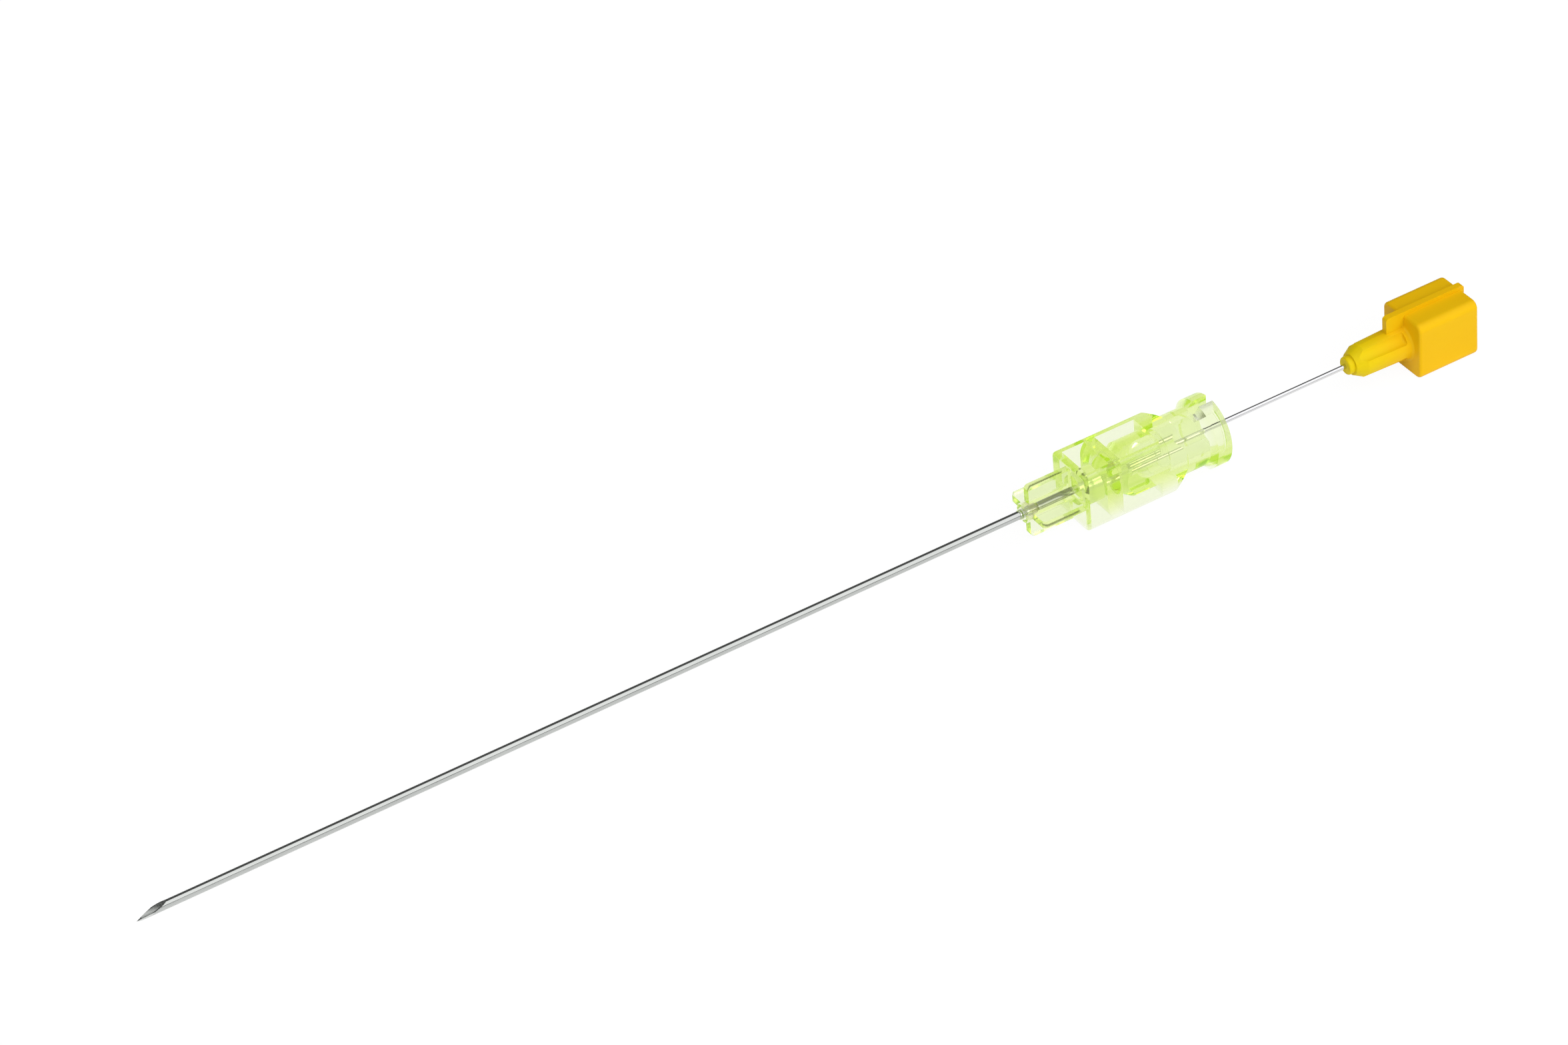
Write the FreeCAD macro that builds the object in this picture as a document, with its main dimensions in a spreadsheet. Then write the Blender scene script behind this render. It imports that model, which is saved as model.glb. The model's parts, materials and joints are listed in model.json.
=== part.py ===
import FreeCAD, Part
import math
import os
import Sketcher

# Spinal needle, stylet partly withdrawn. Millimetres, +X from the bevelled tip towards the stylet cap,
# +Z up through the key slot. The origin is where the cannula leaves the hub's nozzle, on the bore axis.

os.makedirs("parts", exist_ok=True)
doc = FreeCAD.newDocument("SpinalNeedle")

# Driving dimensions
sheet = doc.addObject("Spreadsheet::Sheet", "Sizes")
driving = {
    # cannula, a 20 gauge steel tube with a three-facet bevel
    "cannula_outer_diameter": 0.90,
    "cannula_inner_diameter": 0.60,
    "exposed_length": 100.0,
    "bevel_angle": 15.5,
    "lancet_angle": 20.0,
    "lancet_roll": 33.0,
    # nozzle with its four fins and the bond that holds the cannula
    "boss_diameter": 2.20,
    "boss_edge_radius": 0.15,
    "fin_reach": 3.08,
    "fin_thickness": 0.85,
    "fin_setback": 0.60,
    "fin_corner_radius": 0.45,
    "cannula_clearance": 0.02,
    "well_diameter": 1.50,
    "well_depth": 1.70,
    "well_bottom_length": 0.35,
    "meniscus_height": 0.45,
    "meniscus_wall": 0.08,
    # grip box of the hub
    "grip_height": 6.75,
    "grip_width": 6.20,
    "grip_corner_radius": 0.55,
    "grip_front": 5.75,
    "grip_rear": 18.10,
    "grip_front_edge_radius": 0.35,
    "shoulder_length": 1.60,
    "shoulder_radius": 4.42,
    "side_wall": 0.85,
    "front_wall": 0.75,
    "web_front": 8.65,
    "web_rear": 10.50,
    "web_edge_radius": 2.20,
    "web_edge_depth": 1.45,
    "rear_wall_front": 15.30,
    # core tube inside the grip
    "core_diameter": 3.66,
    "core_rear_diameter": 5.80,
    "core_flare_length": 1.60,
    "flow_throat_diameter": 1.10,
    "cannula_rear": 12.50,
    "chamber_front": 13.20,
    "chamber_diameter": 3.20,
    "chamber_dome_length": 1.50,
    "chamber_dome_radius": 1.75,
    # female luer connector
    "mouth_position": 23.10,
    "mouth_diameter": 4.30,
    "socket_depth": 6.50,
    "socket_taper": 0.03,
    "barrel_diameter": 6.54,
    "lug_diameter": 7.80,
    "lug_length": 1.70,
    "lug_ramp_length": 0.55,
    "lug_gap_angle": 66.0,
    "mouth_edge_radius": 0.15,
    "slot_width": 1.15,
    "slot_depth": 2.45,
    # stylet
    "wire_clearance": 0.04,
    "wire_tip_inset": 0.30,
    "withdrawn_by": 24.0,
    "seated_gap": 0.30,
    "wire_in_block": 0.70,
    # stylet cap
    "cap_width": 6.40,
    "cap_corner_radius": 0.85,
    "cap_edge_radius": 0.30,
    "cap_block_length": 7.50,
    "plug_length": 7.30,
    "plug_clearance": 0.10,
    "nose_diameter": 2.00,
    "nose_length": 0.65,
    "nose_edge_radius": 0.20,
    "plug_shoulder_length": 1.15,
    "plug_shoulder_diameter": 2.50,
    "plug_root_fillet": 0.28,
    "flute_radius": 0.95,
    "flute_depth": 0.36,
    "flute_end_gap": 0.60,
    "flute_end_fillet": 0.25,
    "key_side_clearance": 0.22,
    "key_height": 0.48,
    "key_lead": 2.20,
    "key_front_radius": 0.35,
    "key_rear_step": 0.30,
}


class Dim:
    """A length or angle that knows its value and the sheet expression it comes from."""

    def __init__(self, value, text):
        self.value = float(value)
        self.text = text

    @staticmethod
    def of(other):
        return other if isinstance(other, Dim) else Dim(other, repr(float(other)))

    def __add__(self, other):
        other = Dim.of(other)
        return Dim(self.value + other.value, f"({self.text} + {other.text})")

    def __sub__(self, other):
        other = Dim.of(other)
        return Dim(self.value - other.value, f"({self.text} - {other.text})")

    def __mul__(self, other):
        other = Dim.of(other)
        return Dim(self.value * other.value, f"({self.text} * {other.text})")

    def __truediv__(self, other):
        other = Dim.of(other)
        return Dim(self.value / other.value, f"({self.text} / {other.text})")

    def __neg__(self):
        return Dim(-self.value, f"(0 - {self.text})")

    def __radd__(self, other):
        return Dim.of(other) + self

    def __rsub__(self, other):
        return Dim.of(other) - self

    def __rmul__(self, other):
        return Dim.of(other) * self


def tangent(angle):
    return Dim(math.tan(math.radians(angle.value)), f"tan({angle.text} * 1deg)")


class Sizes:
    pass


size = Sizes()
for row, (name, value) in enumerate(driving.items(), start=1):
    sheet.set(f"A{row}", name)
    sheet.set(f"B{row}", str(value))
    sheet.setAlias(f"B{row}", name)
    setattr(size, name, Dim(value, f"Sizes.{name}"))
doc.recompute()

# Values that follow from the driving ones
nothing = Dim(0, "0")
cannula_radius = size.cannula_outer_diameter / 2
lumen_radius = size.cannula_inner_diameter / 2
wire_radius = lumen_radius - size.wire_clearance
grinding_reach = size.cannula_outer_diameter / tangent(size.bevel_angle) * 3
grip_half = size.grip_height / 2
grip_side = size.grip_width / 2
pocket_half_width = grip_side - size.side_wall
barrel_radius = size.barrel_diameter / 2
lug_radius = size.lug_diameter / 2
mouth_radius = size.mouth_diameter / 2
socket_floor = size.mouth_position - size.socket_depth
socket_floor_radius = mouth_radius - size.socket_taper * size.socket_depth
chamber_radius = size.chamber_diameter / 2
cap_front = size.mouth_position + size.seated_gap + size.withdrawn_by
cap_rear = cap_front + size.cap_block_length
nose_front = cap_front - size.plug_length
plug_root_radius = mouth_radius - size.plug_clearance
plug_front = nose_front + size.nose_length
plug_body_front = plug_front + size.plug_shoulder_length
plug_body_radius = plug_root_radius - size.socket_taper * (cap_front - plug_body_front)
key_half_width = size.slot_width / 2 - size.key_side_clearance
beyond = Dim(1, "1")
overlap = Dim(0.3, "0.3")


def origin_plane(body, role):
    return [f for f in body.Origin.OriginFeatures if f.Role == role][0]


def new_body(label):
    body = doc.addObject("PartDesign::Body", label)
    body.Label = label
    return body


def new_sketch(body, name, role, offset=None):
    """A sketch on one of the body's own origin planes, moved along the plane's normal."""
    sketch = body.newObject("Sketcher::SketchObject", name)
    sketch.AttachmentSupport = [(origin_plane(body, role), "")]
    sketch.MapMode = "FlatFace"
    if offset is not None:
        sketch.setExpression("AttachmentOffset.Base.z", offset.text)
        doc.recompute()
    return sketch


def pin_point(sketch, geometry, end, at):
    """Holds one end of a sketch line or arc at a place given by two sheet expressions."""
    for kind, dim in (("DistanceX", at[0]), ("DistanceY", at[1])):
        index = sketch.addConstraint(Sketcher.Constraint(kind, -1, 1, geometry, end, dim.value))
        if dim.text not in ("0", "0.0"):
            sketch.setExpression(f"Constraints[{index}]", dim.text)


def arc_through(start, stop, radius, bulge):
    """Arc between two points with a given radius; bulge is +1 when it turns left, -1 when it turns right."""
    ax, ay = start[0].value, start[1].value
    bx, by = stop[0].value, stop[1].value
    chord = math.hypot(bx - ax, by - ay)
    height = math.sqrt(max(radius.value ** 2 - chord ** 2 / 4, 0))
    cx = (ax + bx) / 2 - bulge * height * (by - ay) / chord
    cy = (ay + by) / 2 + bulge * height * (bx - ax) / chord
    first = math.atan2(ay - cy, ax - cx)
    last = math.atan2(by - cy, bx - cx)
    if bulge < 0:
        first, last = last, first
    circle = Part.Circle(FreeCAD.Vector(cx, cy, 0), FreeCAD.Vector(0, 0, 1), radius.value)
    return Part.ArcOfCircle(circle, first, last)


def draw_outline(sketch, corners):
    """Closed outline; a corner is (x, y), or (x, y, radius, bulge) where an arc leads to the next one."""
    count = len(corners)
    for i, corner in enumerate(corners):
        start = [Dim.of(v) for v in corner[:2]]
        stop = [Dim.of(v) for v in corners[(i + 1) % count][:2]]
        if len(corner) == 2:
            line = Part.LineSegment(
                FreeCAD.Vector(start[0].value, start[1].value, 0),
                FreeCAD.Vector(stop[0].value, stop[1].value, 0))
            index = sketch.addGeometry(line, False)
            ends = (1, 2)
        else:
            radius = Dim.of(corner[2])
            index = sketch.addGeometry(arc_through(start, stop, radius, corner[3]), False)
            ends = (1, 2) if corner[3] > 0 else (2, 1)
            held = sketch.addConstraint(Sketcher.Constraint("Radius", index, radius.value))
            sketch.setExpression(f"Constraints[{held}]", radius.text)
        pin_point(sketch, index, ends[0], start)
        pin_point(sketch, index, ends[1], stop)
    doc.recompute()


def rounded_rectangle(half_width, half_height, radius):
    """Outline that runs anticlockwise, centred on the axis."""
    flat_x = half_width - radius
    flat_y = half_height - radius
    return [
        (half_width, -flat_y), (half_width, flat_y, radius, 1),
        (flat_x, half_height), (-flat_x, half_height, radius, 1),
        (-half_width, flat_y), (-half_width, -flat_y, radius, 1),
        (-flat_x, -half_height), (flat_x, -half_height, radius, 1),
    ]


def draw_circle(sketch, radius, at=(nothing, nothing)):
    centre = FreeCAD.Vector(at[0].value, at[1].value, 0)
    index = sketch.addGeometry(Part.Circle(centre, FreeCAD.Vector(0, 0, 1), radius.value), False)
    pin_point(sketch, index, 3, at)
    held = sketch.addConstraint(Sketcher.Constraint("Radius", index, radius.value))
    sketch.setExpression(f"Constraints[{held}]", radius.text)
    doc.recompute()


def make_feature(body, kind, name, sketch):
    feature = body.newObject(kind, name)
    feature.Profile = sketch
    return feature


def pad(body, name, sketch, length, both_ways=False):
    feature = make_feature(body, "PartDesign::Pad", name, sketch)
    feature.setExpression("Length", length.text)
    feature.Midplane = both_ways
    doc.recompute()
    return feature


def cut(body, name, sketch, length, both_ways=True, reverse=False):
    """Pocket that has to take material away."""
    before = body.Shape.Volume
    feature = make_feature(body, "PartDesign::Pocket", name, sketch)
    feature.setExpression("Length", length.text)
    feature.Midplane = both_ways
    feature.Reversed = reverse
    doc.recompute()
    if body.Shape.Volume > before - 1e-6:
        raise ValueError(f"{name} cuts nothing")
    return feature


def turn(body, name, sketch, kind="PartDesign::Revolution", angle=None):
    """Revolves a sketch about the bore axis; a partial turn lies evenly on both sides of the sketch."""
    feature = make_feature(body, kind, name, sketch)
    feature.ReferenceAxis = (origin_plane(body, "X_Axis"), [""])
    if angle is not None:
        feature.setExpression("Angle", angle.text)
        feature.Midplane = True
    doc.recompute()
    return feature


def round_edges(body, name, radius, wanted):
    """Fillets the edges of the body's last shape that a test on their middle point picks out."""
    base = body.Tip
    edges = []
    for number, edge in enumerate(base.Shape.Edges, start=1):
        middle = edge.valueAt((edge.FirstParameter + edge.LastParameter) / 2)
        if wanted(edge, middle):
            edges.append(f"Edge{number}")
    fillet = body.newObject("PartDesign::Fillet", name)
    fillet.Base = (base, edges)
    fillet.setExpression("Radius", radius.text)
    doc.recompute()
    return fillet


def near(value, dim):
    return abs(value - dim.value) < 1e-4


# Cannula: a tube whose tip is ground with one long facet and two lancet facets
def grinding_block(name, angle, roll, point_x, point_z):
    """A block whose lower face is a grinding plane that rises from a point of the tip towards the hub."""
    block = doc.addObject("Part::Box", name)
    reach = grinding_reach
    block.setExpression("Length", reach.text)
    block.setExpression("Width", reach.text)
    block.setExpression("Height", reach.text)
    turned = (
        f"create(<<rotation>>; create(<<vector>>; 1; 0; 0); {roll.text})"
        f" * create(<<rotation>>; create(<<vector>>; 0; 1; 0); 0 - {angle.text})")
    back = f"create(<<vector>>; 0 - {reach.text} / 2; 0 - {reach.text} / 2; 0)"
    block.setExpression(
        "Placement",
        f"create(<<placement>>; create(<<vector>>; {point_x.text}; 0; {point_z.text}); {turned})"
        f" * create(<<placement>>; {back}; create(<<rotation>>; 0; 0; 0))")
    return block


def cylinder_on_axis(name, radius, start, stop):
    rod = doc.addObject("Part::Cylinder", name)
    rod.setExpression("Radius", radius.text)
    rod.setExpression("Height", (stop - start).text)
    rod.setExpression(
        "Placement",
        f"create(<<placement>>; create(<<vector>>; {start.text}; 0; 0); "
        "create(<<rotation>>; create(<<vector>>; 0; 1; 0); 90))")
    return rod


def subtract(label, base, tool):
    result = doc.addObject("Part::Cut", label)
    result.Label = label
    result.Base = base
    result.Tool = tool
    return result


def build_cannula():
    tip = -size.exposed_length
    outside = cylinder_on_axis("CannulaOutside", cannula_radius, tip, size.cannula_rear)
    lumen = cylinder_on_axis("CannulaLumen", lumen_radius, tip - beyond, size.cannula_rear + beyond)
    tube = subtract("CannulaTube", outside, lumen)
    bevel = grinding_block("BevelGrind", size.bevel_angle, nothing, tip, -cannula_radius)
    bevelled = subtract("CannulaBevelled", tube, bevel)
    left = grinding_block("LancetLeft", size.lancet_angle, size.lancet_roll, tip, -cannula_radius)
    right = grinding_block("LancetRight", size.lancet_angle, -size.lancet_roll, tip, -cannula_radius)
    half_ground = subtract("CannulaHalfGround", bevelled, left)
    return subtract("cannula", half_ground, right)


def build_stylet_wire():
    wire_tip = -size.exposed_length + size.wire_tip_inset + size.withdrawn_by
    wire_rear = cap_front + size.wire_in_block
    rod = cylinder_on_axis("WireRod", wire_radius, wire_tip, wire_rear)
    bevel = grinding_block("WireGrind", size.bevel_angle, nothing, wire_tip, -wire_radius)
    return subtract("stylet_wire", rod, bevel)


# Adhesive: fills the well in the nozzle and climbs the cannula in a small meniscus
def build_adhesive():
    body = new_body("adhesive")
    well = size.well_diameter / 2
    floor = size.well_depth
    section = new_sketch(body, "AdhesiveSection", "XZ_Plane")
    meniscus_top = cannula_radius + size.meniscus_wall
    draw_outline(section, [
        (-size.meniscus_height, cannula_radius),
        (floor, cannula_radius),
        (floor, cannula_radius + size.cannula_clearance),
        (floor - size.well_bottom_length, well),
        (nothing, well, size.meniscus_height, -1),
        (-size.meniscus_height, meniscus_top),
    ])
    turn(body, "AdhesiveRing", section)
    return body


# Hub: one clear moulding with a finned nozzle, an open grip box, a core tube and a female luer mouth
def add_grip_box(body):
    outline = new_sketch(body, "GripOutline", "YZ_Plane", size.grip_front)
    draw_outline(outline, rounded_rectangle(grip_side, grip_half, size.grip_corner_radius))
    pad(body, "GripBlock", outline, size.grip_rear - size.grip_front)
    round_edges(
        body, "GripFrontEdge", size.grip_front_edge_radius,
        lambda edge, middle: near(middle.x, size.grip_front))
    shoulder = new_sketch(body, "ShoulderSection", "XZ_Plane")
    far_out = size.shoulder_radius + beyond
    draw_outline(shoulder, [
        (size.grip_rear - size.shoulder_length, size.shoulder_radius),
        (size.grip_rear, barrel_radius),
        (size.grip_rear + beyond, barrel_radius),
        (size.grip_rear + beyond, far_out),
        (size.grip_rear - size.shoulder_length, far_out),
    ])
    before = body.Shape.Volume
    turn(body, "RearShoulder", shoulder, "PartDesign::Groove")
    if body.Shape.Volume > before - 1e-6:
        raise ValueError("the rear shoulder cuts nothing")


def cut_grip_pockets(body):
    """Two pockets that pass from the top of the box to the bottom, either side of the web."""
    outside = grip_half + beyond
    flat_to = grip_half - size.web_edge_depth
    drop = size.web_edge_radius.value ** 2 - size.web_edge_depth.value ** 2
    edge_x = size.web_front + size.web_edge_radius - Dim(
        math.sqrt(drop),
        f"sqrt({size.web_edge_radius.text} ^ 2 - {size.web_edge_depth.text} ^ 2)")
    front_x = size.grip_front + size.front_wall
    front = new_sketch(body, "FrontPocketSide", "XZ_Plane")
    draw_outline(front, [
        (front_x, -outside), (edge_x, -outside), (edge_x, -grip_half, size.web_edge_radius, -1),
        (size.web_front, -flat_to), (size.web_front, flat_to, size.web_edge_radius, -1),
        (edge_x, grip_half), (edge_x, outside), (front_x, outside),
    ])
    cut(body, "FrontPocket", front, pocket_half_width * 2)
    rear = new_sketch(body, "RearPocketSide", "XZ_Plane")
    draw_outline(rear, [
        (size.web_rear, -outside), (size.rear_wall_front, -outside),
        (size.rear_wall_front, outside), (size.web_rear, outside),
    ])
    cut(body, "RearPocket", rear, pocket_half_width * 2)


def add_core_and_barrel(body):
    boss = size.boss_diameter / 2
    core = size.core_diameter / 2
    core_rear = size.core_rear_diameter / 2
    flare_end = size.web_rear + size.core_flare_length
    ramp_start = size.mouth_position - size.lug_length - size.lug_ramp_length
    section = new_sketch(body, "CoreSection", "XZ_Plane")
    edge = size.boss_edge_radius
    draw_outline(section, [
        (nothing, nothing), (size.mouth_position, nothing),
        (size.mouth_position, barrel_radius), (size.grip_rear, barrel_radius),
        (size.grip_rear, core_rear), (flare_end, core_rear),
        (size.web_rear, core), (size.grip_front, core),
        (size.grip_front, boss), (edge, boss, edge, 1),
        (nothing, boss - edge),
    ])
    turn(body, "CoreTube", section)
    lug = new_sketch(body, "LugSection", "XZ_Plane")
    sunk = barrel_radius - overlap
    draw_outline(lug, [
        (ramp_start, sunk), (size.mouth_position, sunk), (size.mouth_position, lug_radius),
        (size.mouth_position - size.lug_length, lug_radius), (ramp_start, barrel_radius),
    ])
    turn(body, "Lugs", lug, angle=360 - size.lug_gap_angle)


def add_fins(body):
    reach = size.fin_reach
    corner = size.fin_corner_radius
    front = size.fin_setback
    rear = size.grip_front + size.front_wall / 2
    outline = [
        (rear, -reach), (rear, reach), (front + corner, reach, corner, 1),
        (front, reach - corner), (front, corner - reach, corner, 1), (front + corner, -reach),
    ]
    upright = new_sketch(body, "UprightFinSide", "XZ_Plane")
    draw_outline(upright, outline)
    pad(body, "UprightFins", upright, size.fin_thickness, both_ways=True)
    level = new_sketch(body, "LevelFinSide", "XY_Plane")
    draw_outline(level, outline)
    pad(body, "LevelFins", level, size.fin_thickness, both_ways=True)


def bore_hub(body):
    """Everything along the axis, in one groove: glue well, cannula seat, throat, domed chamber, socket."""
    well = size.well_diameter / 2
    seat = cannula_radius + size.cannula_clearance
    throat = size.flow_throat_diameter / 2
    dome_end = size.chamber_front + size.chamber_dome_length
    bore = new_sketch(body, "BoreSection", "XZ_Plane")
    edge = size.mouth_edge_radius
    before = body.Shape.Volume
    draw_outline(bore, [
        (-beyond, nothing), (size.mouth_position + beyond, nothing),
        (size.mouth_position + beyond, mouth_radius + edge),
        (size.mouth_position, mouth_radius + edge, edge, 1),
        (size.mouth_position - edge, mouth_radius - size.socket_taper * edge),
        (socket_floor, socket_floor_radius), (socket_floor, chamber_radius),
        (dome_end, chamber_radius, size.chamber_dome_radius, 1),
        (size.chamber_front, throat), (size.cannula_rear, throat), (size.cannula_rear, seat),
        (size.well_depth, seat), (size.well_depth - size.well_bottom_length, well), (-beyond, well),
    ])
    turn(body, "Bore", bore, "PartDesign::Groove")
    if body.Shape.Volume > before - 1e-6:
        raise ValueError("the bore cuts nothing")


def cut_key_slot(body):
    slot = new_sketch(body, "SlotEnd", "YZ_Plane", size.mouth_position)
    half = size.slot_width / 2
    draw_outline(slot, [
        (-half, nothing), (half, nothing), (half, lug_radius + beyond), (-half, lug_radius + beyond),
    ])
    cut(body, "KeySlot", slot, size.slot_depth, both_ways=False)


def build_hub():
    body = new_body("hub")
    add_grip_box(body)
    cut_grip_pockets(body)
    add_core_and_barrel(body)
    add_fins(body)
    bore_hub(body)
    cut_key_slot(body)
    return body


# Stylet cap: a moulded block with a fluted tapered plug, and a key that enters the hub's slot
def add_cap_block(body):
    outline = new_sketch(body, "CapOutline", "YZ_Plane", cap_front)
    draw_outline(outline, rounded_rectangle(size.cap_width / 2, grip_half, size.cap_corner_radius))
    pad(body, "CapBlock", outline, size.cap_block_length)
    round_edges(
        body, "CapEndEdges", size.cap_edge_radius,
        lambda edge, middle: near(middle.x, cap_front) or near(middle.x, cap_rear))


def add_plug(body):
    nose = size.nose_diameter / 2
    edge = size.nose_edge_radius
    root = size.plug_root_fillet
    plug = new_sketch(body, "PlugSection", "XZ_Plane")
    inside = cap_front + beyond
    draw_outline(plug, [
        (nose_front, nothing), (inside, nothing), (inside, plug_root_radius + root),
        (cap_front, plug_root_radius + root, root, -1),
        (cap_front - root, plug_root_radius),
        (plug_body_front, plug_body_radius),
        (plug_front, size.plug_shoulder_diameter / 2), (plug_front, nose),
        (nose_front + edge, nose, edge, 1), (nose_front, nose - edge),
    ])
    turn(body, "Plug", plug)
    flute = new_sketch(body, "FluteEnd", "YZ_Plane", cap_front - size.flute_end_gap)
    away = plug_body_radius + size.flute_radius - size.flute_depth
    diagonal = away * Dim(math.sqrt(0.5), "sqrt(0.5)")
    draw_circle(flute, size.flute_radius, (diagonal, diagonal))
    first = cut(body, "Flute", flute, size.plug_length, both_ways=False)
    pattern = body.newObject("PartDesign::PolarPattern", "Flutes")
    pattern.Originals = [first]
    pattern.Axis = (origin_plane(body, "X_Axis"), [""])
    pattern.Angle = 360
    pattern.Occurrences = 4
    body.Tip = pattern
    doc.recompute()
    flute_end = cap_front - size.flute_end_gap
    round_edges(
        body, "FluteEndFillets", size.flute_end_fillet,
        lambda edge, middle: near(middle.x, flute_end) and edge.Curve.TypeId == "Part::GeomCircle"
        and near(edge.Curve.Radius, size.flute_radius))


def add_key(body):
    key = new_sketch(body, "KeySide", "XZ_Plane")
    front = cap_front - size.key_lead
    top = grip_half + size.key_height
    corner = size.key_front_radius
    draw_outline(key, [
        (front, plug_body_radius / 2), (cap_rear - beyond, plug_body_radius / 2),
        (cap_rear - beyond, grip_half - size.key_height),
        (cap_rear + size.key_rear_step, grip_half - size.key_height),
        (cap_rear + size.key_rear_step, top - corner, corner, 1),
        (cap_rear + size.key_rear_step - corner, top),
        (front + corner, top, corner, 1), (front, top - corner),
    ])
    pad(body, "Key", key, key_half_width * 2, both_ways=True)


def bore_cap(body):
    seat = new_sketch(body, "WireSeat", "YZ_Plane", nose_front)
    draw_circle(seat, wire_radius)
    cut(body, "WireHole", seat, size.plug_length + size.wire_in_block, both_ways=False, reverse=True)


def build_cap():
    body = new_body("stylet_cap")
    add_cap_block(body)
    add_plug(body)
    add_key(body)
    bore_cap(body)
    return body


pieces = {
    "cannula": build_cannula(),
    "hub": build_hub(),
    "adhesive": build_adhesive(),
    "stylet_wire": build_stylet_wire(),
    "stylet_cap": build_cap(),
}
doc.recompute()

# Every object has to be sound before anything is written
for item in doc.Objects:
    faults = [state for state in item.State if state in ("Invalid", "Error")]
    if faults:
        raise ValueError(f"{item.Name} is {faults[0]}")
for name, piece in pieces.items():
    if piece.Shape.isNull() or not piece.Shape.isValid():
        raise ValueError(f"{name} has no valid shape")

for name, piece in pieces.items():
    piece.Shape.exportStep(f"parts/{name}.step")
    box = piece.Shape.BoundBox
    print(
        f"{name}: {len(piece.Shape.Solids)} solid, {piece.Shape.Volume:.3f} mm3, "
        f"x {box.XMin:.2f} to {box.XMax:.2f}, y {box.YMin:.2f} to {box.YMax:.2f}, "
        f"z {box.ZMin:.2f} to {box.ZMax:.2f}")
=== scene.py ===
import json
import math

import bpy
from mathutils import Matrix, Vector

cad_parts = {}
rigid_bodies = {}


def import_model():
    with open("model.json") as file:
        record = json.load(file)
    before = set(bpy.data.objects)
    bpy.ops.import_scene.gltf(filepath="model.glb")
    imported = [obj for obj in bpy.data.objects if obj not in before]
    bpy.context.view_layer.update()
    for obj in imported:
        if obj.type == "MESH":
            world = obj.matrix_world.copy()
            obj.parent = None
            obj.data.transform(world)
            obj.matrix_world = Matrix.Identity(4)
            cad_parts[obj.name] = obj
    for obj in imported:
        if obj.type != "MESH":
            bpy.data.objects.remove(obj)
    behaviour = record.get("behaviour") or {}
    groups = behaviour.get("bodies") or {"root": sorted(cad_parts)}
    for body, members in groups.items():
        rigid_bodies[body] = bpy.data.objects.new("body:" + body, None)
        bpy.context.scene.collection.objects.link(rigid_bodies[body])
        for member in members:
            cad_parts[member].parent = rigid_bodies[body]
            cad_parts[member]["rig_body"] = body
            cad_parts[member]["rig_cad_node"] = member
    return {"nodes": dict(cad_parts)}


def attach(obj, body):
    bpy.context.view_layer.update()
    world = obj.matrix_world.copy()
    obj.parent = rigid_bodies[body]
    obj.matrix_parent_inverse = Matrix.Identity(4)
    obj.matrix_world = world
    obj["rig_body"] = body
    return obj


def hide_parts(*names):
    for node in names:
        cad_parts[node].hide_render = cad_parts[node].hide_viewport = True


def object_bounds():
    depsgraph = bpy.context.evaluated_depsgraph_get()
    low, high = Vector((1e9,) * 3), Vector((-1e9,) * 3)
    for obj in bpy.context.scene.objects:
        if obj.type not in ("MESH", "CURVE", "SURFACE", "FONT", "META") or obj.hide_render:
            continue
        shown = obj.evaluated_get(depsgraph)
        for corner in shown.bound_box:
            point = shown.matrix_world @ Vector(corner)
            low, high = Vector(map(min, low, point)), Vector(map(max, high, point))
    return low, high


# Spinal needle lying on a white table, stylet drawn part way out. Metres, +X towards the cap, +Z up.

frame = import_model()
cadLow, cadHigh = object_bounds()
nodes = frame["nodes"]
scene = bpy.context.scene
mm = 0.001
print("frame loaded:", ", ".join(sorted(nodes)))


class Signal:
    # one output socket, with plain arithmetic that adds Math nodes

    def __init__(self, look, socket):
        self.look = look
        self.socket = socket

    def maths(self, operation, first, second):
        return self.look.add("ShaderNodeMath", {"operation": operation}, {0: first, 1: second})

    def __add__(self, other):
        return self.maths("ADD", self, other)

    def __radd__(self, other):
        return self.maths("ADD", other, self)

    def __sub__(self, other):
        return self.maths("SUBTRACT", self, other)

    def __rsub__(self, other):
        return self.maths("SUBTRACT", other, self)

    def __mul__(self, other):
        return self.maths("MULTIPLY", self, other)

    def __rmul__(self, other):
        return self.maths("MULTIPLY", other, self)


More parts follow.
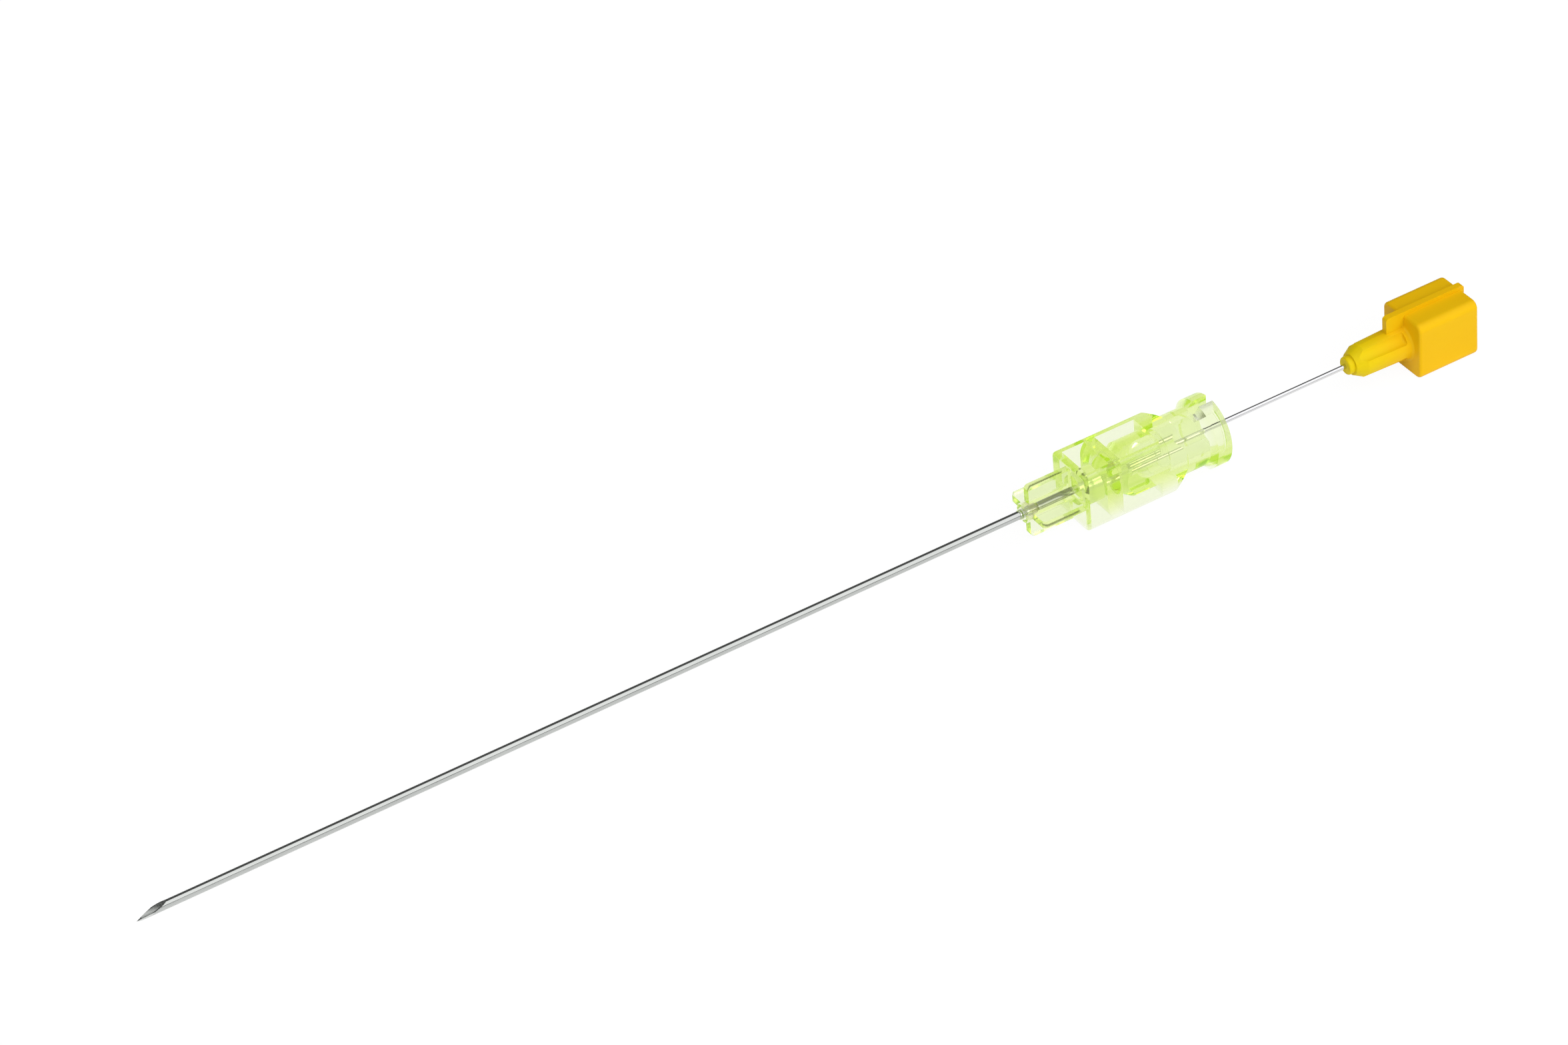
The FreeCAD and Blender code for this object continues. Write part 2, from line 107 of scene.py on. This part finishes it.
class Look:
    # a material's or the world's node tree, started empty

    def __init__(self, tree):
        self.tree = tree
        tree.nodes.clear()

    def add(self, kind, settings, inputs, output=0):
        node = self.tree.nodes.new(kind)
        for name, value in settings.items():
            setattr(node, name, value)
        for name, value in inputs.items():
            if isinstance(value, Signal):
                self.tree.links.new(value.socket, node.inputs[name])
            else:
                node.inputs[name].default_value = value
        return Signal(self, node.outputs[output])

    def place(self, stretch=(1, 1, 1)):
        # the piece's own coordinates, in metres, stretched
        spot = self.add("ShaderNodeTexCoord", {}, {}, "Object")
        return self.add("ShaderNodeMapping", {}, {"Vector": spot, "Scale": stretch})

    def noise(self, stretch, detail):
        inputs = {"Vector": self.place(stretch), "Scale": 1.0, "Detail": detail, "Roughness": 0.5}
        return self.add("ShaderNodeTexNoise", {}, inputs, "Fac")

    def bump(self, height, distance):
        inputs = {"Height": height, "Distance": distance, "Strength": 1.0}
        return self.add("ShaderNodeBump", {}, inputs, "Normal")

    def along(self, axis):
        # one of the piece's own coordinates, in metres
        return self.add("ShaderNodeSeparateXYZ", {}, {0: self.place()}, axis)

    def reach(self):
        # distance from the bore axis, in metres
        square = self.along(1) * self.along(1) + self.along(2) * self.along(2)
        return self.add("ShaderNodeMath", {"operation": "SQRT"}, {0: square})

    def offMiddle(self, value):
        # how far a coordinate is from zero, on either side
        return self.add("ShaderNodeMath", {"operation": "ABSOLUTE"}, {0: value})

    def atMostOne(self, value):
        return self.add("ShaderNodeMath", {"operation": "MINIMUM"}, {0: value, 1: 1.0})

    def ramp(self, value, begin, end, low=0.0, high=1.0):
        limits = {"Value": value, "From Min": begin, "From Max": end, "To Min": low, "To Max": high}
        return self.add("ShaderNodeMapRange", {"interpolation_type": "SMOOTHSTEP"}, limits, "Result")

    def blend(self, share, first, second):
        return self.add("ShaderNodeMix", {"data_type": "RGBA"}, {0: share, 6: first, 7: second}, 2)


def newMaterial(name):
    material = bpy.data.materials.new(name)
    material.use_nodes = True
    return material, Look(material.node_tree)


def finishMaterial(look, shader, volume=None):
    node = look.tree.nodes.new("ShaderNodeOutputMaterial")
    look.tree.links.new(shader.socket, node.inputs["Surface"])
    if volume is not None:
        look.tree.links.new(volume.socket, node.inputs["Volume"])


def dress(piece, material):
    piece.data.materials.clear()
    piece.data.materials.append(material)


# drawn steel of the cannula and the stylet wire; in the hub the tube has painted shade, then painted pale
# green sheen
steelLook = {
    "tube": {
        "colour": (0.575, 0.59, 0.575, 1), "dull": (0.50, 0.515, 0.50, 1),
        # the dark colour is painted shade where the plastic first covers the tube, the pale green one a
        # painted sheen deeper in
        "paintedShade": (0.30, 0.31, 0.28, 1), "deep": (0.84, 0.87, 0.76, 1),
        "roughness": 0.12, "boreRough": 0.38, "groundRough": 0.20, "lineDepth": 0.0000010,
    },
    "wire": {
        "colour": (0.72, 0.72, 0.73, 1), "dull": (0.60, 0.60, 0.62, 1),
        "paintedShade": (0.72, 0.72, 0.73, 1), "deep": (0.72, 0.72, 0.73, 1),
        "roughness": 0.11, "boreRough": 0.0, "groundRough": 0.0, "lineDepth": 0.0000008,
    },
    "both": {
        "lines": (400, 26000, 26000), "lineDetail": 3.0, "patches": (260, 900, 900), "patchDetail": 2.0,
        # along the tube: where the painted shade and then the painted pale green sheen start
        "paintedShadeFrom": 1.4 * mm, "paintedShadeTo": 2.0 * mm, "paintedSheenFrom": 5.6 * mm, "paintedSheenTo": 6.4 * mm,
        "boreWall": 0.320 * mm, "boreInside": 0.303 * mm,
        "skin": 0.446 * mm, "underSkin": 0.440 * mm,
        "roughBelow": 0.05, "roughLines": 0.06, "roughPatches": 0.05,
    },
}


def steelMaterial(name, values):
    both = steelLook["both"]
    material, look = newMaterial(name)
    # fine lines along the drawing direction, and soft patches left by polishing
    drawn = look.noise(both["lines"], both["lineDetail"])
    clouded = look.noise(both["patches"], both["patchDetail"])
    # painted shade, then a painted pale green sheen, on the steel inside the hub
    paintedInHubMask = look.ramp(look.along(0), both["paintedShadeFrom"], both["paintedShadeTo"])
    paintedSheenMask = look.ramp(look.along(0), both["paintedSheenFrom"], both["paintedSheenTo"])
    paintedShadeAndSheen = look.blend(paintedSheenMask, values["paintedShade"], values["deep"])
    colour = look.blend(paintedInHubMask, look.blend(clouded, values["colour"], values["dull"]), paintedShadeAndSheen)
    inBore = look.ramp(look.reach(), both["boreWall"], both["boreInside"])
    ground = look.ramp(look.reach(), both["skin"], both["underSkin"])
    rough = values["roughness"] - both["roughBelow"] + drawn * both["roughLines"]
    rough = rough + clouded * both["roughPatches"]
    rough = rough + inBore * values["boreRough"] + ground * values["groundRough"]
    shader = look.add("ShaderNodeBsdfPrincipled", {}, {
        "Base Color": colour, "Metallic": 1.0, "Roughness": rough,
        "Normal": look.bump(drawn, values["lineDepth"]),
    })
    finishMaterial(look, shader)
    return material


dress(nodes["cannula"], steelMaterial("cannulaSteel", steelLook["tube"]))
dress(nodes["stylet_wire"], steelMaterial("styletSteel", steelLook["wire"]))
print("steel done")


# yellow moulding of the stylet cap, greener towards the front of the plug
capLook = {
    "colour": (0.735, 0.445, 0.003, 1), "deep": (0.705, 0.405, 0.002, 1),
    "nose": (0.665, 0.505, 0.003, 1), "noseStart": 47.5 * mm, "noseEnd": 40.5 * mm,
    "grain": (5200, 5200, 5200), "grainDetail": 3.0, "grainDepth": 0.000004, "grainRough": 0.10,
    "flow": (110, 260, 260), "flowDetail": 2.0, "roughness": 0.42, "roughBelow": 0.04,
    "specular": 0.10, "under": 0.12, "underColour": (1.0, 0.55, 0.10), "underDepth": 0.0006,
}


def capMaterial():
    material, look = newMaterial("capYellow")
    # spark-eroded mould texture, and a slow change of tone from the gate
    grain = look.noise(capLook["grain"], capLook["grainDetail"])
    flow = look.noise(capLook["flow"], capLook["flowDetail"])
    toNose = look.ramp(look.along(0), capLook["noseStart"], capLook["noseEnd"])
    block = look.blend(flow, capLook["colour"], capLook["deep"])
    rough = capLook["roughness"] - capLook["roughBelow"] + grain * capLook["grainRough"]
    shader = look.add("ShaderNodeBsdfPrincipled", {}, {
        "Base Color": look.blend(toNose, block, capLook["nose"]), "Roughness": rough,
        "Specular IOR Level": capLook["specular"], "Subsurface Weight": capLook["under"],
        "Subsurface Radius": capLook["underColour"], "Subsurface Scale": capLook["underDepth"],
        "Normal": look.bump(grain, capLook["grainDepth"]),
    })
    finishMaterial(look, shader)
    return material


dress(nodes["stylet_cap"], capMaterial())
print("cap done")


# bond in the nozzle, clear where it bulges out and cloudy down the well
bondLook = {
    "clear": (1.0, 1.0, 0.97, 1), "beige": (0.80, 0.76, 0.60, 1), "pale": (0.90, 0.88, 0.76, 1),
    "clearRough": 0.05, "cloudyRough": 0.45, "cloudRough": 0.04, "ior": 1.15,
    "clouds": (2600, 2600, 2600), "cloudDetail": 2.0, "cloudDepth": 0.000002,
    "wellFrom": 0.3 * mm, "wellTo": 0.9 * mm,
}


def bondMaterial():
    material, look = newMaterial("bondBeige")
    cloudy = look.noise(bondLook["clouds"], bondLook["cloudDetail"])
    inWell = look.ramp(look.along(0), bondLook["wellFrom"], bondLook["wellTo"])
    beige = look.blend(cloudy, bondLook["beige"], bondLook["pale"])
    rough = bondLook["clearRough"] + inWell * (bondLook["cloudyRough"] - bondLook["clearRough"])
    shader = look.add("ShaderNodeBsdfPrincipled", {}, {
        "Base Color": look.blend(inWell, bondLook["clear"], beige),
        "Roughness": rough + cloudy * bondLook["cloudRough"],
        "IOR": bondLook["ior"], "Transmission Weight": 1.0,
        "Normal": look.bump(cloudy, bondLook["cloudDepth"]),
    })
    finishMaterial(look, shader)
    return material


dress(nodes["adhesive"], bondMaterial())
print("bond done")


# clear hub: radii of the bore as moulded and as shown closed, then its looks
hubLook = {
    "seat": 0.47 * mm, "well": 0.75 * mm, "seatShown": 0.40 * mm, "wellShown": 0.70 * mm,
    "seatRear": 12.5 * mm, "wellDepth": 1.7 * mm, "rearStep": 0.05 * mm,
    "slack": 0.01 * mm, "mergeWithin": 0.000001,
    # surface is the plastic's own tint; the edge colour is a painted yellow-green glow for the grip's corners
    "surface": (0.930, 0.958, 0.870, 1), "edge": (0.76, 0.89, 0.42, 1),
    "tint": (0.845, 0.948, 0.25, 1), "density": 225.0, "ior": 1.22,
    "roughness": 0.07, "coreRoughness": 0.34, "rippleRough": 0.03,
    "ripple": (420, 900, 900), "rippleDetail": 2.0, "rippleDepth": 0.000003,
    "gripSide": 3.1 * mm, "gripHalf": 3.375 * mm, "gripFront": 5.9 * mm,
    "edgeWidth": 0.40 * mm, "edgeFull": 0.3,
    "coreStart": 6.4 * mm, "coreEnd": 11.4 * mm, "coreRadius": 2.3 * mm,
    "coreFade": 0.4 * mm, "coreEndFade": 0.8 * mm,
}


def pickPoints(piece, wanted):
    bpy.ops.object.mode_set(mode="EDIT")
    bpy.ops.mesh.select_mode(type="VERT")
    bpy.ops.mesh.select_all(action="DESELECT")
    bpy.ops.object.mode_set(mode="OBJECT")
    for point in piece.data.vertices:
        point.select = wanted(point.co, math.hypot(point.co.y, point.co.z))
    bpy.ops.object.mode_set(mode="EDIT")


def closeBore(ratio):
    bpy.ops.transform.resize(value=(1, ratio, ratio), center_override=(0, 0, 0))


def makeHub():
    # a merged copy of the moulding whose bore closes on the steel and the bond, as a wetted joint does
    source = nodes["hub"]
    bpy.ops.object.select_all(action="DESELECT")
    source.select_set(True)
    bpy.context.view_layer.objects.active = source
    bpy.ops.object.duplicate()
    hub = bpy.context.view_layer.objects.active
    hub.name = "hub_clear"
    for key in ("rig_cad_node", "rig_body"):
        del hub[key]
    # the solid's own smooth shading, set again after the merge
    smoothWalls = [corner.vector.copy() for corner in hub.data.corner_normals]
    bpy.ops.object.mode_set(mode="EDIT")
    bpy.ops.mesh.select_all(action="SELECT")
    bpy.ops.mesh.remove_doubles(threshold=hubLook["mergeWithin"])
    seat, well, slack = hubLook["seat"], hubLook["well"], hubLook["slack"]
    rear = hubLook["seatRear"] - slack
    pickPoints(hub, lambda co, r: abs(r - seat) < slack and co.x > rear)
    bpy.ops.transform.translate(value=(-hubLook["rearStep"], 0, 0))
    pickPoints(hub, lambda co, r: abs(r - seat) < slack)
    closeBore(hubLook["seatShown"] / seat)
    pickPoints(hub, lambda co, r: abs(r - well) < slack and co.x < hubLook["wellDepth"])
    closeBore(hubLook["wellShown"] / well)
    bpy.ops.object.mode_set(mode="OBJECT")
    hub.data.normals_split_custom_set(smoothWalls)
    return hub


def hubMaterial():
    material, look = newMaterial("hubClear")
    # slight waviness of a moulded wall
    ripple = look.noise(hubLook["ripple"], hubLook["rippleDetail"])
    # the core between the front wall and the web is left matt
    core, fade = hubLook["coreRadius"], hubLook["coreFade"]
    near = look.ramp(look.reach(), core, core - fade)
    front = look.ramp(look.along(0), hubLook["coreStart"], hubLook["coreStart"] + fade)
    rear = look.ramp(look.along(0), hubLook["coreEnd"], hubLook["coreEnd"] - hubLook["coreEndFade"])
    matt = near * front * rear
    # painted yellow-green glow along the grip's corners, standing in for light coloured by the thick plastic
    width, full = hubLook["edgeWidth"], hubLook["edgeWidth"] * hubLook["edgeFull"]
    side, top = hubLook["gripSide"], hubLook["gripHalf"]
    besides = look.ramp(look.offMiddle(look.along(1)), side - width, side - full)
    above = look.ramp(look.offMiddle(look.along(2)), top - width, top - full)
    ends = look.ramp(look.offMiddle(look.along(0) - hubLook["gripFront"]), width, full)
    edges = look.atMostOne(besides * above + ends * besides + ends * above)
    rough = hubLook["roughness"] + matt * (hubLook["coreRoughness"] - hubLook["roughness"])
    shader = look.add("ShaderNodeBsdfPrincipled", {}, {
        "Base Color": look.blend(edges, hubLook["surface"], hubLook["edge"]),
        "Roughness": rough + ripple * hubLook["rippleRough"],
        "IOR": hubLook["ior"], "Transmission Weight": 1.0,
        "Normal": look.bump(ripple, hubLook["rippleDepth"]),
    })
    inside = {"Color": hubLook["tint"], "Density": hubLook["density"]}
    finishMaterial(look, shader, look.add("ShaderNodeVolumeAbsorption", {}, inside))
    return material


hub = makeHub()
dress(hub, hubMaterial())
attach(hub, "needle")
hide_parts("hub")
print("hub done")


# white table that keeps the needle's shadow
tableLook = {
    "size": 6.0, "colour": (0.92, 0.92, 0.92, 1),
    "whiteShare": 0.93, "white": 1.02, "mirrored": 0.75,
}


def makeTable():
    bpy.ops.object.select_all(action="DESELECT")
    bpy.ops.mesh.primitive_plane_add(size=tableLook["size"], location=(0, 0, cadLow.z))
    table = bpy.context.view_layer.objects.active
    table.name = "table"
    bpy.ops.object.transform_apply(location=True, rotation=True, scale=True)
    material, look = newMaterial("tableWhite")
    seen = look.add("ShaderNodeLightPath", {}, {}, "Is Camera Ray")
    mirrored = look.add("ShaderNodeLightPath", {}, {}, "Is Glossy Ray")
    through = look.add("ShaderNodeLightPath", {}, {}, "Is Transmission Ray")
    white = look.atMostOne(seen + mirrored * tableLook["mirrored"] + through) * tableLook["whiteShare"]
    paper = look.add("ShaderNodeBsdfDiffuse", {}, {"Color": tableLook["colour"]})
    bright = look.add("ShaderNodeEmission", {}, {"Color": (1, 1, 1, 1), "Strength": tableLook["white"]})
    finishMaterial(look, look.add("ShaderNodeMixShader", {}, {0: white, 1: paper, 2: bright}))
    dress(table, material)


# studio: a white tent in front and above, a dark room behind; each panel is watts, size and place
lightLook = {
    "front": 1.36, "back": 0.10, "tentFrom": 0.32, "tentTo": 0.02,
    "horizon": 0.12, "horizonFrom": 0.09, "horizonTo": 0.27, "through": 1.0, "bounces": 48,
    "panels": {
        "keyPanel": (4.2, 0.9, (0.10, -0.95, 0.45)),
        "backPanel": (2.2, 0.5, (-0.10, 1.00, 0.16)),
    },
}


def makeLight():
    world = bpy.data.worlds.new("studio")
    world.use_nodes = True
    scene.world = world
    look = Look(world.node_tree)
    way = look.add("ShaderNodeTexCoord", {}, {}, "Generated")
    ahead = look.add("ShaderNodeSeparateXYZ", {}, {0: way}, 1)
    height = look.add("ShaderNodeSeparateXYZ", {}, {0: way}, 2)
    tent = look.ramp(ahead, lightLook["tentFrom"], lightLook["tentTo"], lightLook["back"], lightLook["front"])
    lower = look.ramp(height, lightLook["horizonFrom"], lightLook["horizonTo"], lightLook["horizon"], 1.0)
    # plain white for the camera and past the clear hub
    refracted = look.add("ShaderNodeLightPath", {}, {}, "Is Transmission Ray")
    seen = look.add("ShaderNodeLightPath", {}, {}, "Is Camera Ray")
    through = look.atMostOne(refracted + seen)
    strength = tent * lower * (1 - through) + through * lightLook["through"]
    glow = look.add("ShaderNodeBackground", {}, {"Color": (1, 1, 1, 1), "Strength": strength})
    out = look.tree.nodes.new("ShaderNodeOutputWorld")
    look.tree.links.new(glow.socket, out.inputs["Surface"])
    for name, (watts, size, place) in lightLook["panels"].items():
        lamp = bpy.data.lights.new(name, "AREA")
        lamp.energy, lamp.size = watts, size
        panel = bpy.data.objects.new(name, lamp)
        scene.collection.objects.link(panel)
        panel.location = place
        panel.visible_glossy = False      # the steel shows the tent alone
        panel.rotation_mode = "QUATERNION"
        panel.rotation_quaternion = (-Vector(place)).to_track_quat("-Z", "Y")


# camera at the photo's angle, in degrees and metres
cameraSetup = {
    "lens": 122.45, "sensor": 36, "clipNear": 0.02, "clipFar": 20,
    "above": 42.5, "turned": 21.5, "roll": 24.531, "lift": 0.97589,
    "aimX": -23.9 * mm, "distance": 0.52883,
}


def makeCamera():
    above, turned = math.radians(cameraSetup["above"]), math.radians(cameraSetup["turned"])
    lift, roll = math.radians(cameraSetup["lift"]), math.radians(cameraSetup["roll"])
    flat = Vector((0, math.cos(above), -math.sin(above)))
    straight = Vector((1, 0, 0)) * math.sin(turned) + flat * math.cos(turned)
    right = Vector((1, 0, 0)) * math.cos(turned) - flat * math.sin(turned)
    level = Vector((0, math.sin(above), math.cos(above)))
    up = level * math.cos(lift) - straight * math.sin(lift)
    forward = straight * math.cos(lift) + level * math.sin(lift)
    camRight = right * math.cos(roll) - up * math.sin(roll)
    camUp = right * math.sin(roll) + up * math.cos(roll)
    place = Vector((cameraSetup["aimX"], 0, 0)) - straight * cameraSetup["distance"]
    camera = bpy.data.objects.new("camera", bpy.data.cameras.new("camera"))
    scene.collection.objects.link(camera)
    camera.data.sensor_fit = "HORIZONTAL"
    camera.data.sensor_width = cameraSetup["sensor"]
    camera.data.lens = cameraSetup["lens"]
    camera.data.clip_start, camera.data.clip_end = cameraSetup["clipNear"], cameraSetup["clipFar"]
    axes = Matrix((camRight, camUp, -forward)).transposed()
    camera.matrix_world = Matrix.Translation(place) @ axes.to_4x4()
    scene.camera = camera


makeTable()
makeLight()
makeCamera()
scene.view_settings.view_transform = "Standard"
# light turns many times inside the clear moulding
scene.cycles.max_bounces = lightLook["bounces"]
scene.cycles.glossy_bounces = lightLook["bounces"]
scene.cycles.transmission_bounces = lightLook["bounces"]
print("table, light and camera done")
